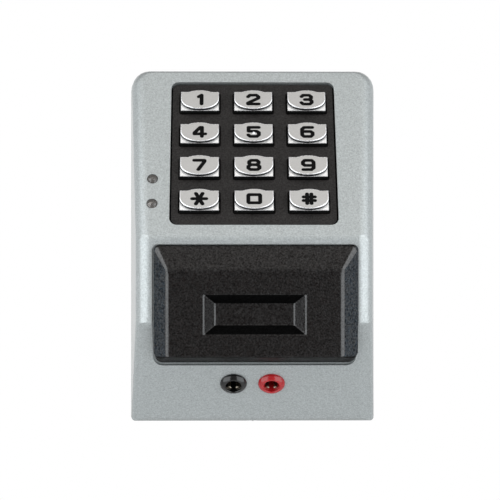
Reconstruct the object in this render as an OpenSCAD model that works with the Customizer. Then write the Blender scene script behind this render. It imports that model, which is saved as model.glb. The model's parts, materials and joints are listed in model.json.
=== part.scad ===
// Wall-mounted keypad access reader: a cast metal housing with a sloped keypad above, a
// proximity reader cover on the front, and two emergency power sockets on the lower slope.
// The wall is the plane y = 0 and the front faces -y. "Depth" is the distance from the wall.

/* [Housing] */
// Width of the housing at the wall
body_w = 89; // [87:0.5:92]
// Height of the housing
body_h = 127; // [126:0.5:130]
// Depth of the flat front between the two slopes
front_depth = 41.2; // [40.5:0.1:42.5]
// Depth of the top edge
top_depth = 7.3; // [7:0.1:8.5]
// Depth of the bottom edge
bottom_depth = 7.9; // [7.5:0.1:9]
// Height of the bend between the keypad slope and the flat front
upper_bend_z = 2.4; // [2:0.1:3]
// Height of the bend between the flat front and the lower slope
lower_bend_z = -26.5; // [-27:0.1:-26]
// How far each side wall leans in over the whole front depth
side_draft = 3.9; // [3:0.1:4.2]
// Thickness of the cast walls
wall = 2.6; // [2.4:0.1:2.8]

/* [Keypad] */
// Distance between key columns
column_pitch = 19.05; // [18.5:0.05:19.2]
// Distance between key rows along the slope
row_pitch = 13.75; // [13.5:0.05:14]
// Width of a key
key_w = 13.6; // [12.8:0.1:14]
// Height of a key along the slope
key_h = 8.0; // [7.6:0.1:8.4]
// Height of a key's raised pad above its shoulders
pad_rise = 1.3; // [0.6:0.1:1.6]
// How far a key travels when pressed
key_travel = 1.0; // [0.6:0.1:1.0]
// Width of the keypad opening
opening_w = 58.6; // [58.2:0.1:58.8]
// Height of the keypad opening along the slope
opening_h = 59.4; // [59:0.1:59.6]

/* [Reader cover] */
// Width of the cover's base
cover_w = 70.1; // [69.8:0.1:70.6]
// Depth of the cover's main face
cover_depth = 46.7; // [46:0.1:47.5]
// Width of the cover's main face
face_w = 59.8; // [59:0.1:60.4]
// Depth of the pocket in the main face
pocket_depth = 3.8; // [3:0.1:3.9]
// Width of the pocket's mouth
pocket_w = 34.9; // [33:0.1:36]
// Height of the pocket's mouth
pocket_h = 13.7; // [13:0.1:14]

/* [Sockets and wall fixing] */
// Distance between the two emergency power sockets
socket_spacing = 13.5; // [13:0.1:16]
// Bore of the spring contact inside each socket
socket_bore = 4.0; // [3.8:0.1:4.2]
// Distance between the two wall screw holes
gang_spacing = 83.3; // [83:0.1:84]
// Diameter of the cable hole in the back plate
cable_hole = 20; // [16:0.5:21]

/* [Hidden] */
$fn = 48;

half_w = body_w / 2;
half_h = body_h / 2;
far = 200; // long enough to cut right through the body
eps = 0.01; // overlap that joins two pieces of one solid
corner_top = 7; // radius of the housing's upper corners in front view
corner_low = 1.2;

// keypad slope: its tilt from the vertical, and the point on its surface under the keypad centre
slope_tilt = atan((front_depth - top_depth) / (half_h - upper_bend_z));
keypad_z = 33.4;
keypad_depth = front_depth - (keypad_z - upper_bend_z) * tan(slope_tilt);
opening_mid = [-0.1, -0.3]; // the opening's centre, from the keys' centre
opening_r = 2.7;
// the opening's sides, as [low x, high x, low, high], measured up the slope
opening = [
    opening_mid.x - opening_w / 2, opening_mid.x + opening_w / 2,
    opening_mid.y - opening_h / 2, opening_mid.y + opening_h / 2,
];

// lower slope: its tilt from the vertical, and the point on its surface between the sockets
apron_tilt = atan((front_depth - bottom_depth) / (half_h + lower_bend_z));
socket_z = -48.8;
socket_depth = front_depth - (lower_bend_z - socket_z) * tan(apron_tilt);

// layers of the keypad, as heights above the slope's surface
key_face = 0.8;
bezel_face = -0.9;
bezel_back = -2.1;
flange_top = -2.2;
flange_bottom = flange_top - 0.8;
frame_top = -wall - 0.1;
bezel_gap = 0.55; // between the bezel and the opening
mat_top = -4.6;
board_top = -5.4;
board_bottom = -6.6;
dome_top = flange_bottom - key_travel - 0.1;
key_play = 0.3; // gap between a key and its hole
flange_lip = 0.9; // how far a key's flange reaches past the key all round
pad_top = 3.25; // the raised pad's upper corners lie this far above the key's middle
board_half_w = 37.9;
board_low = -31.5;
board_high = 31.5;
keypad_boss_x = 34.6;
keypad_boss_v = [-28.2, 24];
led_x = -35.45;
led_v = [-11.3, -21.3];
led_r = 1.85;

// reader cover
cover_top = 0.2;
cover_bottom = -41;
cover_x = [0.45 - cover_w / 2, 0.45 + cover_w / 2];
cover_lip = 0.8; // how far the cover's sides rise from the housing before its bevels start
cover_wall = 2;
cover_r = [2.6, 1.7]; // radii of the cover's lower and upper corners
cover_seat = 0.8; // depth of the recess that the cover sits in
// how far the recess reaches past the cover: left, right, below, above
recess_gap = [0.6, 0.2, 1.0, 0.3];
recess_r = [3.2, 2.1];
face_top = -8.5;
face_bottom = -38;
pocket_z = -23.5;
pocket_lean_w = 3.9; // how far the pocket's left and right walls lean in on their way down
pocket_lean_h = 3.2; // how far its upper and lower walls lean in
seat_depth = front_depth - cover_seat;
// window in the housing behind the cover, as [low x, high x, low z, high z]
window = [-23.4, 23.4, -25, -4.5];
// the reader coil's outer and inner outlines, in the same order
coil_outer = [-22.8, 22.8, -36, -11.2];
coil_inner = [-20, 20, -33.2, -14];
coil_back = 41.6;
coil_front = 43.8;
reader_screw_x = 27;
reader_screw_z = [-7, -22];
reader_board_back = 35.5;
reader_board_front = 37.1;

// main board, parallel to the wall
main_back = 14.5;
main_front = 16.1;
main_half_w = 35;
main_low = -36;
main_high = 22;
main_screw_x = 32.4;
main_screw_z = [-30, 16];
ledge_depth = 6;
cell_x = 0;
cell_z = -27;
cell_r = 8;
buzzer_x = 21;
buzzer_z = -26;
capacitor_x = [-28, -20];
capacitor_z = 3.5;
chip_x = [14, 22];
terminal_count = 8;
terminal_pitch = 5;
terminal_z = 7.2;
socket_header_z = [-34, -28];
header_half_w = 9; // half width of both ribbon headers
header_h = 2.8; // height of the keypad's ribbon header
header_v = [-22, -17];

// back plate and its fastenings
plate_t = 1.6;
plate_gap = 0.4;
hook_x = 25;
cable_z = 25;
plate_screw_r = 2.25; // radius of the wall screw holes
screw_depth = 4.1; // depth of the security screw's axis
socket_x = [-socket_spacing / 2 - 0.35, socket_spacing / 2 - 0.35];
socket_thread_r = 3.5;
socket_hole_r = 2.65;
tamper_x = 24;
tamper_z = -14;

// ---- outlines ----

function unit(v) = v / norm(v);

// the arc that rounds corner b between its neighbours a and c
function corner_arc(a, b, c, r) =
    r <= 0 ? [b] :
    let (
        u = unit(a - b),
        w = unit(c - b),
        half = acos(u * w) / 2,
        centre = b + unit(u + w) * r / sin(half),
        p = b + u * r / tan(half) - centre,
        q = b + w * r / tan(half) - centre,
        start = atan2(p.y, p.x),
        turn = (atan2(q.y, q.x) - start + 540) % 360 - 180,
        steps = max(3, ceil(abs(turn) / 9))
    )
    [for (i = [0:steps]) centre + r * [cos(start + turn * i / steps), sin(start + turn * i / steps)]];

function round_corners(points, radii) = [
    for (i = [0:len(points) - 1])
        each corner_arc(
            points[(i + len(points) - 1) % len(points)], points[i],
            points[(i + 1) % len(points)], radii[i]
        )
];

// the outward normal of the edge that starts at point i of an anticlockwise outline
function edge_normal(points, i) =
    let (d = unit(points[(i + 1) % len(points)] - points[i])) [d.y, -d.x];

// an outline whose edge i moves in by amounts[i]
function inset(points, amounts) = [
    for (i = [0:len(points) - 1])
        let (
            j = (i + len(points) - 1) % len(points),
            m = edge_normal(points, j),
            n = edge_normal(points, i),
            det = m.x * n.y - m.y * n.x
        )
        points[i] - [amounts[j] * n.y - amounts[i] * m.y, amounts[i] * m.x - amounts[j] * n.x] / det
];

// side view, as (depth, z)
side_points = [
    [0, -half_h], [bottom_depth, -half_h], [front_depth, lower_bend_z],
    [front_depth, upper_bend_z], [top_depth, half_h], [0, half_h],
];
side_radii = [0, 1.5, 3, 10, 2, 0];

// plan view, as (x, depth)
plan_points = [
    [-half_w, 0], [half_w, 0], [half_w - side_draft, front_depth], [side_draft - half_w, front_depth],
];

// front view, as (x, z)
front_points = [[-half_w, -half_h], [half_w, -half_h], [half_w, half_h], [-half_w, half_h]];
front_radii = [corner_low, corner_low, corner_top, corner_top];

// ---- solids from outlines ----

// an outline in (depth, z) becomes a bar along x
module bar_x(points, length = far) {
    rotate([90, 0, -90]) linear_extrude(length, center = true) polygon([for (p = points) [p.x, p.y]]);
}

// an outline in (x, depth) becomes a column along z
module column_z(points, low = -far / 2, high = far / 2) {
    translate([0, 0, low]) mirror([0, 1, 0]) linear_extrude(high - low) polygon(points);
}

// an outline in (x, z) becomes a block from one depth to another
module block_y(points, near, deep) {
    translate([0, -near, 0]) rotate([90, 0, 0]) linear_extrude(deep - near) polygon(points);
}

function rectangle(x0, x1, y0, y1) = [[x0, y0], [x1, y0], [x1, y1], [x0, y1]];

function rounded_rectangle(x0, x1, y0, y1, r) =
    round_corners(rectangle(x0, x1, y0, y1), [r, r, r, r]);

// a rounded rectangle whose sides are given as a list, moved out by d
function rounded_box(sides, d, r) =
    rounded_rectangle(sides[0] - d, sides[1] + d, sides[2] - d, sides[3] + d, r);

// an outline with one radius for its lower corners and one for its upper corners
function cover_outline(x0, x1, z0, z1, low_r, top_r) =
    round_corners(rectangle(x0, x1, z0, z1), [low_r, low_r, top_r, top_r]);

module box(x0, x1, depth0, depth1, z0, z1) {
    translate([x0, -depth1, z0]) cube([x1 - x0, depth1 - depth0, z1 - z0]);
}

module block_y_ring(outer, inner, near, deep) {
    difference() {
        block_y(outer, near, deep);
        block_y(inner, near - 1, deep + 1);
    }
}

// a cylinder along the depth
module rod_y(x, z, r, near, deep) {
    translate([x, -near, z]) rotate([90, 0, 0]) cylinder(r = r, h = deep - near);
}

// the keypad's own axes: x across, y up the slope, z out of its surface
module on_slope() {
    translate([0, -keypad_depth, keypad_z]) rotate([90 - slope_tilt, 0, 0]) children();
}

// the lower slope's own axes, centred between the sockets
module on_apron() {
    translate([0, -socket_depth, socket_z]) rotate([90 + apron_tilt, 0, 0]) children();
}

// a slab between two heights in the axes of a slope
module slab(points, low, high) {
    translate([0, 0, low]) linear_extrude(high - low) polygon(points);
}

module rod(x, y, r, low, high) {
    translate([x, y, low]) cylinder(r = r, h = high - low);
}

// pan-head screw along the depth, its head towards the wall
module pan_screw(x, z, seat, shank_r, tip) {
    rod_y(x, z, shank_r, seat, tip);
    difference() {
        rod_y(x, z, 2 * shank_r, seat - 1.6, seat);
        for (turn = [0, 90])
            translate([x, -seat + 1.6 + eps, z]) rotate([90, turn, 0])
                translate([0, 0, 0.4]) cube([2.4 * shank_r, 0.4 * shank_r, 0.9], center = true);
    }
}

// ---- housing ----

// the body's outer form, or its inside when every wall moves in; "back" moves the open back
module body_blank(inset_by, back) {
    side = inset(side_points, [inset_by, inset_by, inset_by, inset_by, inset_by, back]);
    plan = inset(plan_points, [back, inset_by, 0, inset_by]);
    front = inset(front_points, [inset_by, inset_by, inset_by, inset_by]);
    top_r = corner_top - inset_by;
    intersection() {
        bar_x(inset_by == 0 ? round_corners(side, side_radii) : side);
        column_z(plan);
        block_y(round_corners(front, [corner_low, corner_low, top_r, top_r]), -5, far / 2);
    }
}

// the space in front of the body's surface once that surface moves in by some depth
module in_front_of(depth) {
    difference() {
        children();
        bar_x(round_corners(inset(side_points, [0, depth, depth, depth, 0, -20]), side_radii));
    }
}

module keypad_bosses(r, low, high) {
    on_slope()
        for (x = [-keypad_boss_x, keypad_boss_x], v = keypad_boss_v) rod(x, v, r, low, high);
}

module cover_recess_block() {
    block_y(
        cover_outline(
            cover_x[0] - recess_gap[0], cover_x[1] + recess_gap[1],
            cover_bottom - recess_gap[2], cover_top + recess_gap[3], recess_r[0], recess_r[1]
        ),
        15, 60
    );
}

module front_housing() {
    color("#b9bfbe") difference() {
        union() {
            difference() {
                body_blank(0, 0);
                body_blank(wall, -5);
            }
            keypad_bosses(2.6, board_top, -wall + 0.3);
            for (x = [-1, 1] * reader_screw_x, z = reader_screw_z)
                rod_y(x, z, 2.8, reader_board_front, front_depth - wall + 0.3);
            for (side = [-1, 1], z = main_screw_z)
                box(
                    side > 0 ? main_screw_x - 3 : -half_w + wall,
                    side > 0 ? half_w - wall : 3 - main_screw_x,
                    main_front, main_front + ledge_depth, z - 4, z + 4
                );
        }
        // keypad opening and the indicator holes beside it
        on_slope() {
            slab(rounded_box(opening, 0, opening_r), -wall - 3, 5);
            for (v = led_v) rod(led_x, v, led_r + 0.1, -wall - 3, 5);
        }
        keypad_bosses(1.25, board_top - 1, -1.2);
        // recess for the reader cover, and the window and screw holes behind it
        in_front_of(cover_seat) cover_recess_block();
        block_y(rounded_box(window, 0, 2), 30, 60);
        for (x = [-1, 1] * reader_screw_x, z = reader_screw_z) rod_y(x, z, 1.4, 30, 60);
        for (x = [-1, 1] * main_screw_x, z = main_screw_z)
            rod_y(x, z, 1.25, main_front - 1, main_front + ledge_depth - 1);
        on_apron() for (x = socket_x) rod(x, 0, socket_thread_r + 0.15, -wall - 3, 5);
        // groove for the rim seal
        rim_groove();
        // pockets for the back plate's hooks
        for (x = [-1, 1] * hook_x) box(x - 4.5, x + 4.5, 3.2, 5.4, half_h - wall - 1, half_h - 1.1);
        // security screw hole and the recess for its head
        translate([0, -screw_depth, -half_h - 1]) cylinder(r = 1.7, h = wall + 2);
        translate([0, -screw_depth, -half_h - 1]) cylinder(r = 2.8, h = 1 + 1.6);
    }
}

module rim_ring(outer, inner, depth) {
    difference() {
        block_y(
            round_corners(inset(front_points, [outer, outer, outer, outer]), front_radii), -1, depth
        );
        block_y(
            round_corners(
                inset(front_points, [inner, inner, inner, inner]),
                [corner_low, corner_low, corner_top - 1, corner_top - 1]
            ),
            -2, depth + 1
        );
    }
}

module rim_groove() {
    rim_ring(0.7, 1.9, 1.0);
}

module rim_seal() {
    color("#1d1d1d") intersection() {
        rim_groove();
        box(-far / 2, far / 2, 0, far / 2, -far / 2, far / 2);
    }
}

// ---- back plate ----

module back_plate() {
    edge = wall + plate_gap;
    hook_top = half_h - wall - 0.6;
    color("#8f9496") difference() {
        union() {
            block_y(
                round_corners(inset(front_points, [edge, edge, edge, edge]), [1, 1, 3.6, 3.6]),
                0, plate_t
            );
            for (x = [-1, 1] * hook_x) {
                box(x - 4, x + 4, 0, 5, hook_top - 1.5, hook_top);
                box(x - 4, x + 4, 3.6, 5, hook_top - eps, half_h - 1.5);
            }
            box(-6, 6, plate_t - eps, 6, -half_h + wall + plate_gap, -half_h + wall + plate_gap + 2);
        }
        rod_y(0, cable_z, cable_hole / 2, -1, 5);
        for (z = [-1, 1] * gang_spacing / 2) rod_y(0, z, plate_screw_r, -1, 5);
        translate([0, -screw_depth, -half_h]) cylinder(r = 1.5, h = 10);
    }
}

module security_screw() {
    color("#c9ccce") translate([0, -screw_depth, -half_h]) difference() {
        union() {
            cylinder(r = 2.6, h = 1.6);
            cylinder(r = 1.5, h = 7);
        }
        translate([0, 0, -eps]) cylinder(r = 1.2, h = 1.1, $fn = 6);
    }
}

// ---- keypad ----

function key_x(column) = (column - 1) * column_pitch;
function key_v(row) = (1.5 - row) * row_pitch;

module keypad_bezel() {
    hole_w = key_w / 2 + key_play;
    hole_h = key_h / 2 + key_play;
    color("#2f2b2a") on_slope() difference() {
        union() {
            slab(rounded_box(opening, -bezel_gap, opening_r - 0.4), frame_top - eps, bezel_face);
            slab(rounded_box(opening, 1.5, 2), mat_top, frame_top);
        }
        slab(rounded_box(opening, -bezel_gap - 1.4, 1), mat_top - 1, bezel_back);
        for (column = [0:2], row = [0:3])
            translate([key_x(column), key_v(row), 0])
                slab(rounded_rectangle(-hole_w, hole_w, -hole_h, hole_h, 0.6), mat_top - 1, 5);
    }
}

// the outline of a key's raised pad: an oval whose upper half is squared out to the key's sides
function pad_outline() =
    let (half_w = key_w / 2, half_h = key_h / 2, start = asin(pad_top / half_h))
    concat(
        [for (a = [180:7.5:360]) [half_w * cos(a), half_h * sin(a)]],
        [[half_w, pad_top]],
        [for (i = [0:8]) let (a = start + (180 - 2 * start) * i / 8) [half_w * cos(a), half_h * sin(a)]],
        [[-half_w, pad_top]]
    );

// one key: a rectangular cap with a raised pad, on a flange that the bezel holds down
module key(column, row) {
    wide = key_w / 2 + flange_lip;
    high = key_h / 2 + flange_lip;
    color("#c3c1bd") on_slope() translate([key_x(column), key_v(row), 0]) {
        slab(rounded_rectangle(-wide, wide, -high, high, 1), flange_bottom, flange_top);
        slab(
            rounded_rectangle(-key_w / 2, key_w / 2, -key_h / 2, key_h / 2, 0.4),
            flange_top - eps, key_face
        );
        slab(pad_outline(), key_face - eps, key_face + pad_rise);
    }
}

module keypad_mat() {
    color("#55585a") on_slope() {
        slab(rounded_box(opening, 1.5, 2), board_top, mat_top);
        for (column = [0:2], row = [0:3])
            translate([key_x(column), key_v(row), mat_top - eps])
                cylinder(r1 = 3.6, r2 = 2.6, h = dome_top - mat_top + eps);
    }
}

module keypad_board() {
    color("#1f6b45") on_slope() difference() {
        slab(
            rounded_rectangle(-board_half_w, board_half_w, board_low, board_high, 2),
            board_bottom, board_top
        );
        for (x = [-keypad_boss_x, keypad_boss_x], v = keypad_boss_v)
            rod(x, v, 1.45, board_bottom - 1, board_top + 1);
    }
}

module keypad_screws() {
    color("#c9ccce") on_slope()
        for (x = [-keypad_boss_x, keypad_boss_x], v = keypad_boss_v) {
            rod(x, v, 1.25, board_bottom - eps, -1.6);
            rod(x, v, 2.3, board_bottom - 1.4, board_bottom);
        }
}

module keypad_header() {
    color("#e6e1d3") on_slope()
        slab(
            rectangle(-header_half_w, header_half_w, header_v[0], header_v[1]),
            board_bottom - header_h, board_bottom
        );
}

// a flat cable between the two headers, drawn as a band of even thickness in side view
module keypad_ribbon() {
    mid_v = (header_v[0] + header_v[1]) / 2;
    header_face = board_bottom - header_h;
    header_depth = keypad_depth - mid_v * sin(slope_tilt) + header_face * cos(slope_tilt);
    header_z = keypad_z + mid_v * cos(slope_tilt) + header_face * sin(slope_tilt);
    path = [
        [main_front + 3.8, 8], [main_front + 4.9, 8], [main_front + 5.8, 8.8],
        [main_front + 6.4, 10], [main_front + 7, 11.2], [header_depth - 0.9, header_z - 0.5],
        [header_depth - 0.1, header_z],
    ];
    thick = 0.35;
    last = len(path) - 1;
    side = [
        for (i = [0:last])
            let (d = unit(path[min(i + 1, last)] - path[max(i - 1, 0)])) thick * [-d.y, d.x]
    ];
    color("#9aa0a4") bar_x(
        concat(
            [for (i = [0:last]) path[i] + side[i]],
            [for (i = [last:-1:0]) path[i] - side[i]]
        ),
        15
    );
}

// ---- indicators ----

module led(v) {
    color("#8b857c") on_slope() {
        rod(led_x, v, led_r, -3.6, -0.3);
        translate([led_x, v, -0.3 - eps]) intersection() {
            translate([0, 0, -2.1]) sphere(r = 2.8, $fn = 40);
            cylinder(r = led_r, h = 2);
        }
        rod(led_x, v, led_r + 0.5, -3.6, -wall - 0.1);
    }
}

module led_upper() { led(led_v[0]); }
module led_lower() { led(led_v[1]); }

module led_spacer() {
    color("#202020") on_slope()
        slab(
            rounded_rectangle(led_x - 2.3, led_x + 2.3, led_v[1] - 2.6, led_v[0] + 2.6, 1),
            board_top, -3.6
        );
}

// ---- reader cover ----

module frustum_pocket(mouth_w, mouth_h, depth) {
    floor_w = mouth_w - 2 * pocket_lean_w;
    floor_h = mouth_h - 2 * pocket_lean_h;
    over = 1; // height of the tool above the face, where its walls go on spreading
    spread_w = pocket_lean_w * over / depth;
    spread_h = pocket_lean_h * over / depth;
    bottom = cover_depth - depth;
    top = cover_depth + over;
    intersection() {
        column_z([
            [-floor_w / 2, bottom], [floor_w / 2, bottom],
            [mouth_w / 2 + spread_w, top], [-mouth_w / 2 - spread_w, top],
        ]);
        bar_x([
            [bottom, pocket_z - floor_h / 2], [top, pocket_z - mouth_h / 2 - spread_h],
            [top, pocket_z + mouth_h / 2 + spread_h], [bottom, pocket_z + floor_h / 2],
        ]);
    }
}

// the cover's outer shape, or its inside when every wall moves in by t
module cover_blank(t) {
    rim = front_depth + cover_lip;
    side = inset(
        [
            [15, cover_bottom - 2], [cover_depth, face_bottom], [cover_depth, face_top],
            [rim, cover_top], [15, cover_top],
        ],
        [t, t, t, t, 0]
    );
    plan = inset(
        [
            [cover_x[0] - 0.4, 15], [cover_x[1] + 0.4, 15], [cover_x[1], rim],
            [face_w / 2, cover_depth], [-face_w / 2, cover_depth], [cover_x[0], rim],
        ],
        [0, t, t, t, t, t]
    );
    intersection() {
        bar_x(side);
        column_z(plan);
        block_y(
            cover_outline(
                cover_x[0] + t, cover_x[1] - t, cover_bottom + t, cover_top - t,
                max(cover_r[0] - t, 0.5), max(cover_r[1] - t, 0.5)
            ),
            15, 60
        );
    }
}

module reader_cover() {
    color("#2b2624") difference() {
        in_front_of(cover_seat) union() {
            difference() {
                cover_blank(0);
                cover_blank(cover_wall);
            }
            // the pocket's shell, and the four screw bosses
            intersection() {
                frustum_pocket(pocket_w + 3, pocket_h + 3, pocket_depth + 1.3);
                cover_blank(0);
            }
            intersection() {
                for (x = [-1, 1] * reader_screw_x, z = reader_screw_z) rod_y(x, z, 2.5, seat_depth, 45);
                cover_blank(0.5);
            }
        }
        frustum_pocket(pocket_w, pocket_h, pocket_depth);
        for (x = [-1, 1] * reader_screw_x, z = reader_screw_z) rod_y(x, z, 1.25, 30, 43.6);
    }
}

module reader_coil() {
    color("#b5651d") block_y_ring(
        rounded_box(coil_outer, 0, 4), rounded_box(coil_inner, 0, 2), coil_back, coil_front
    );
}

module coil_leads() {
    color("#b5651d") for (x = [20.8, 22.2]) rod_y(x, -17, 0.4, reader_board_front, coil_back);
}

module reader_board() {
    color("#1f6b45") difference() {
        block_y(
            rounded_rectangle(-31, 31, -25.2, -3.2, 1.5), reader_board_back, reader_board_front
        );
        for (x = [-1, 1] * reader_screw_x, z = reader_screw_z) rod_y(x, z, 1.4, 30, 40);
    }
}

module reader_chip() {
    color("#242424") box(-5, 5, reader_board_back - 1.6, reader_board_back, -19, -9);
}

module reader_screws() {
    color("#c9ccce") for (x = [-1, 1] * reader_screw_x, z = reader_screw_z)
        pan_screw(x, z, reader_board_back, 1.25, 43.4);
}

// ---- main board and what it carries ----

module main_board() {
    color("#1f6b45") difference() {
        block_y(
            rounded_rectangle(-main_half_w, main_half_w, main_low, main_high, 1.5), main_back, main_front
        );
        for (x = [-1, 1] * main_screw_x, z = main_screw_z) rod_y(x, z, 1.4, 10, 20);
    }
}

module main_board_screws() {
    color("#c9ccce") for (x = [-1, 1] * main_screw_x, z = main_screw_z)
        pan_screw(x, z, main_back, 1.25, main_front + 4);
}

module processor() {
    color("#242424") box(-7, 7, main_front, main_front + 1.6, -17, -3);
}

module logic_chips() {
    color("#242424") for (x = chip_x) box(x - 2, x + 2, main_front, main_front + 1.7, -14, -4);
}

module relay() {
    color("#2d5fa0") box(-30, -14.5, main_front, main_front + 15, -25.5, -6.5);
}

module buzzer() {
    color("#1b1b1b") difference() {
        rod_y(buzzer_x, buzzer_z, 6, main_front, main_front + 8.5);
        rod_y(buzzer_x, buzzer_z, 1, main_front + 7, main_front + 10);
    }
}

module cell_holder() {
    color("#303236") difference() {
        rod_y(cell_x, cell_z, cell_r + 1, main_front, main_front + 3.6);
        rod_y(cell_x, cell_z, cell_r + 0.1, main_front + 0.6, main_front + 5);
    }
}

module backup_cell() {
    color("#d0d2d3") rod_y(cell_x, cell_z, cell_r, main_front + 0.6, main_front + 3.8);
}

module capacitors() {
    color("#31405c") for (x = capacitor_x) rod_y(x, capacitor_z, 3.1, main_front, main_front + 9);
}

module ribbon_header() {
    color("#e6e1d3") box(-header_half_w, header_half_w, main_front, main_front + 3.8, 5.5, 10.5);
}

module socket_header() {
    color("#e6e1d3") box(-10, 10, 8.1, main_back, socket_header_z[0], socket_header_z[1]);
}

module each_terminal() {
    for (i = [0:terminal_count - 1])
        translate([(i - (terminal_count - 1) / 2) * terminal_pitch, 0, 0]) children();
}

module terminal_block() {
    color("#2f8f4e") difference() {
        box(-20.5, 20.5, main_back - 9.6, main_back, 3, 11.4);
        each_terminal() {
            rod_y(0, terminal_z, 1.8, 0, main_back - 3);
            box(-1.7, 1.7, main_back - 6.6, main_back - 3.2, 8, 12);
        }
    }
}

module terminal_screws() {
    color("#c9ccce") each_terminal() difference() {
        rod_y(0, terminal_z, 1.75, main_back - 8.6, main_back - 3);
        box(-2, 2, main_back - 9, main_back - 8.1, terminal_z - 0.25, terminal_z + 0.25);
    }
}

// ---- tamper switch: its plunger rests on the back plate ----

module tamper_switch() {
    color("#202020") difference() {
        box(tamper_x - 3, tamper_x + 3, 7, main_back, tamper_z - 3, tamper_z + 3);
        rod_y(tamper_x, tamper_z, 1.3, 6, main_back - 1.5);
    }
}

module tamper_plunger() {
    color("#b23a2a") {
        rod_y(tamper_x, tamper_z, 1.1, plate_t + 0.2, main_back - 3);
        rod_y(tamper_x, tamper_z, 1.8, 4.6, 5.6);
    }
}

// ---- emergency power sockets ----

module socket(x) {
    on_apron() translate([x, 0, 0]) difference() {
        union() {
            intersection() {
                cylinder(r = 4.75, h = 2);
                translate([0, 0, -9.9]) sphere(r = 11.2);
            }
            translate([0, 0, -9]) cylinder(r = socket_thread_r, h = 9 + eps);
        }
        translate([0, 0, -9.5]) cylinder(r = socket_hole_r, h = 12);
    }
}

module socket_black() { color("#151515") socket(socket_x[0]); }
module socket_red() { color("#c8202c") socket(socket_x[1]); }

module socket_nuts() {
    color("#d0d2d3") on_apron() for (x = socket_x) translate([x, 0, -wall - 2.2]) difference() {
        cylinder(r = 5.5, h = 2.2, $fn = 6);
        translate([0, 0, -1]) cylinder(r = socket_thread_r, h = 4);
    }
}

module socket_contacts() {
    color("#cfc8b0") on_apron() for (x = socket_x) translate([x, 0, -11]) difference() {
        union() {
            cylinder(r = socket_hole_r, h = 10);
            translate([0, 0, -2]) cylinder(r = 1.2, h = 2 + eps);
        }
        translate([0, 0, 1]) cylinder(d = socket_bore, h = 12);
    }
}

// each lead leaves its contact along the socket's axis and turns up to the header
module socket_leads() {
    bend_r = 4;
    lead_r = 0.9;
    turn = 90 - apron_tilt;
    reach = 13;
    start_depth = socket_depth - reach * cos(apron_tilt);
    start_z = socket_z + reach * sin(apron_tilt);
    centre_depth = start_depth + bend_r * sin(apron_tilt);
    centre_z = start_z + bend_r * cos(apron_tilt);
    color("#a33") for (x = socket_x) {
        translate([x, -centre_depth, centre_z]) rotate([90, 0, 90]) rotate([0, 0, -turn])
            rotate_extrude(angle = turn) translate([bend_r, 0]) circle(r = lead_r, $fn = 24);
        translate([x, bend_r - centre_depth, centre_z])
            cylinder(r = lead_r, h = socket_header_z[0] - centre_z);
    }
}

front_housing();
back_plate();
rim_seal();
security_screw();
keypad_bezel();
keypad_mat();
keypad_board();
keypad_screws();
keypad_header();
keypad_ribbon();
key(0, 0);  // key_1
key(1, 0);  // key_2
key(2, 0);  // key_3
key(0, 1);  // key_4
key(1, 1);  // key_5
key(2, 1);  // key_6
key(0, 2);  // key_7
key(1, 2);  // key_8
key(2, 2);  // key_9
key(0, 3);  // key_star
key(1, 3);  // key_0
key(2, 3);  // key_hash
led_upper();
led_lower();
led_spacer();
reader_cover();
reader_coil();
coil_leads();
reader_board();
reader_chip();
reader_screws();
main_board();
main_board_screws();
processor();
logic_chips();
relay();
buzzer();
cell_holder();
backup_cell();
capacitors();
ribbon_header();
socket_header();
terminal_block();
terminal_screws();
tamper_switch();
tamper_plunger();
socket_black();
socket_red();
socket_nuts();
socket_contacts();
socket_leads();
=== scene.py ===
"""Looks for the keypad access reader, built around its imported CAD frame. Lengths are in millimetres."""
import json
import math

import bmesh
import bpy
from mathutils import Matrix, Vector, geometry


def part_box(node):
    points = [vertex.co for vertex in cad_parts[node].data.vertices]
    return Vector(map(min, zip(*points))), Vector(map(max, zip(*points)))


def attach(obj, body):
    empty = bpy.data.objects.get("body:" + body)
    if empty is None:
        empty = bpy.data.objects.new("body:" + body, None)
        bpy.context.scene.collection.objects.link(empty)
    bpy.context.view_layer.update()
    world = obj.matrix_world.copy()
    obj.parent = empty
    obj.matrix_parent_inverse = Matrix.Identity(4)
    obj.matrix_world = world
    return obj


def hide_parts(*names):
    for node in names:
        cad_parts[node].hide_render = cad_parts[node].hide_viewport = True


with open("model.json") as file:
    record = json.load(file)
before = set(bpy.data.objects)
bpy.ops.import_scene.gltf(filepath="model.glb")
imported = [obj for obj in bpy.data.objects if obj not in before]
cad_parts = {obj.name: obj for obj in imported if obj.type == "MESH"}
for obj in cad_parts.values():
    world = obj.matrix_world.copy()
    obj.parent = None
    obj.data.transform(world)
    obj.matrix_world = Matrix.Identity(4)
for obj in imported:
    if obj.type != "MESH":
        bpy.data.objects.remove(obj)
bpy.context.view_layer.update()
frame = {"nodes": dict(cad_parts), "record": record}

MM = 0.001
scene = bpy.context.scene


# ---- sizes read from the frame ----

def node_box(name):
    """A node's lowest and highest corners, in millimetres."""
    low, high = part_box(name)
    return Vector(low) / MM, Vector(high) / MM


def node_centre(name):
    low, high = node_box(name)
    return (low + high) / 2


housing_low, housing_high = node_box("front_housing")
HALF_W = housing_high.x
HALF_H = housing_high.z
FRONT_DEPTH = -housing_low.y

# driving dimensions shared with the CAD model
TOP_DEPTH = 7.3
BOTTOM_DEPTH = 7.9
UPPER_BEND_Z = 2.4
LOWER_BEND_Z = -26.5
SIDE_LEAN = 3.9 / FRONT_DEPTH
WALL = 2.6
TOP_CORNER_R = 7
KEYPAD_Z = 33.4
OPENING = (-29.4, 29.2, -30.0, 29.4)  # on the keypad slope: low x, high x, low, high
COVER_SEAT = 0.8
RECESS_GAP = (0.6, 0.2, 1.0, 0.3)  # past the cover: left, right, below, above
RECESS_R = (3.2, 2.1)  # lower and upper corners

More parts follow.
